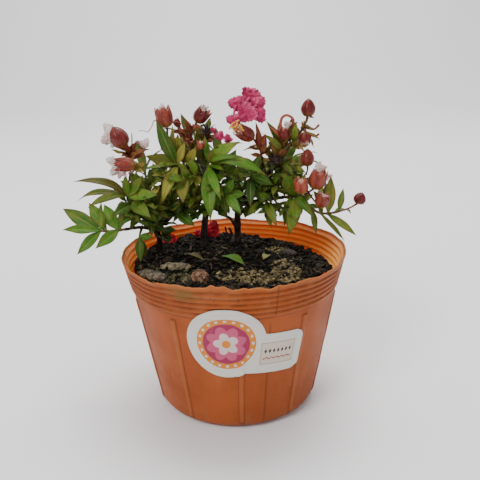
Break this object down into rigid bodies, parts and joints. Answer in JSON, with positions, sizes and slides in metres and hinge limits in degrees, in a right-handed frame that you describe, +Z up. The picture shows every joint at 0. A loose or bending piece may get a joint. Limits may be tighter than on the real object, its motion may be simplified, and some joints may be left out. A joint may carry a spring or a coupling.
{
  "type": "potted dwarf crape myrtle bonsai",
  "caption": "Young dwarf crape myrtle in bloom, with leafy shoots, red buds and one pink bloom, growing in soil in a ribbed soft plastic nursery pot.",
  "frame": {"origin": "centre of the pot's flat foot, on the surface that it stands on", "axes": "+Z up, -Y out of the pot's front with the label, +X to the right seen from the front"},
  "size_m": [0.1394, 0.1042, 0.1482],
  "materials": {
    "pot_plastic": "soft terracotta-orange plastic, slightly waxy, scuffed and stained",
    "label_film": null,
    "soil_mix": "moist dark bark and granule mix",
    "dead_wood": "dry rough bark and seed shell",
    "bark": "thin dark brown bark",
    "leaf_green": "glossy green leaf with a pale midrib",
    "leaf_olive": "olive leaf flushed with bronze",
    "leaf_dry": "curled yellow-green and dull olive fallen leaf",
    "bud_red": "glossy dark red bud",
    "bud_orange": "glossy reddish-orange open calyx",
    "petal_pink": "thin ruffled bright pink petal",
    "petal_fallen": "wilted crimson petal",
    "stamen_yellow": "yellow stamens",
    "husk_brown": "dry dark husk"
  },
  "bodies": {
    "root": {"pot": "pot_plastic", "label": "label_film", "soil": "soil_mix", "bark_chip_long": "dead_wood", "bark_chip_broad": "dead_wood", "bark_chip_dark": "dead_wood", "seed_capsule": "dead_wood", "fallen_leaf_green": "leaf_green", "fallen_leaf_dry": "leaf_dry", "fallen_leaf_yellow": "leaf_dry", "fallen_petal_back": "petal_fallen", "fallen_petal_left": "petal_fallen", "stem_left": "bark", "stem_centre": "bark", "stem_right": "bark", "bloom_calyx": "bud_red", "bloom_petals": "petal_pink", "stamens": "stamen_yellow", "buds_right_top": "bud_red", "bud_right": "bud_red", "buds_right_mid": "bud_orange", "bud_far_right": "bud_red", "calyx_curled": "bud_red", "buds_left": "bud_red", "bud_left_top": "bud_red", "buds_centre_left": "bud_orange", "buds_back": "bud_red", "bud_back_left": "bud_red", "husks_right": "husk_brown", "husks_left": "husk_brown", "shoot_low_left": "leaf_green", "shoot_mid_left": "leaf_green", "shoot_hanging_left": "leaf_green", "shoot_inner_left": "leaf_green", "shoot_upper_left": "leaf_olive", "shoot_centre": "leaf_green", "shoot_centre_low": "leaf_green", "shoot_centre_right": "leaf_green", "shoot_right_low": "leaf_green", "shoot_right_mid": "leaf_green", "shoot_right_tip": "leaf_green", "shoot_right_top": "leaf_olive", "shoot_back_left": "leaf_green", "shoot_back_centre": "leaf_green", "shoot_back_right": "leaf_green", "shoot_back_top": "leaf_olive"}
  },
  "joints": []
}
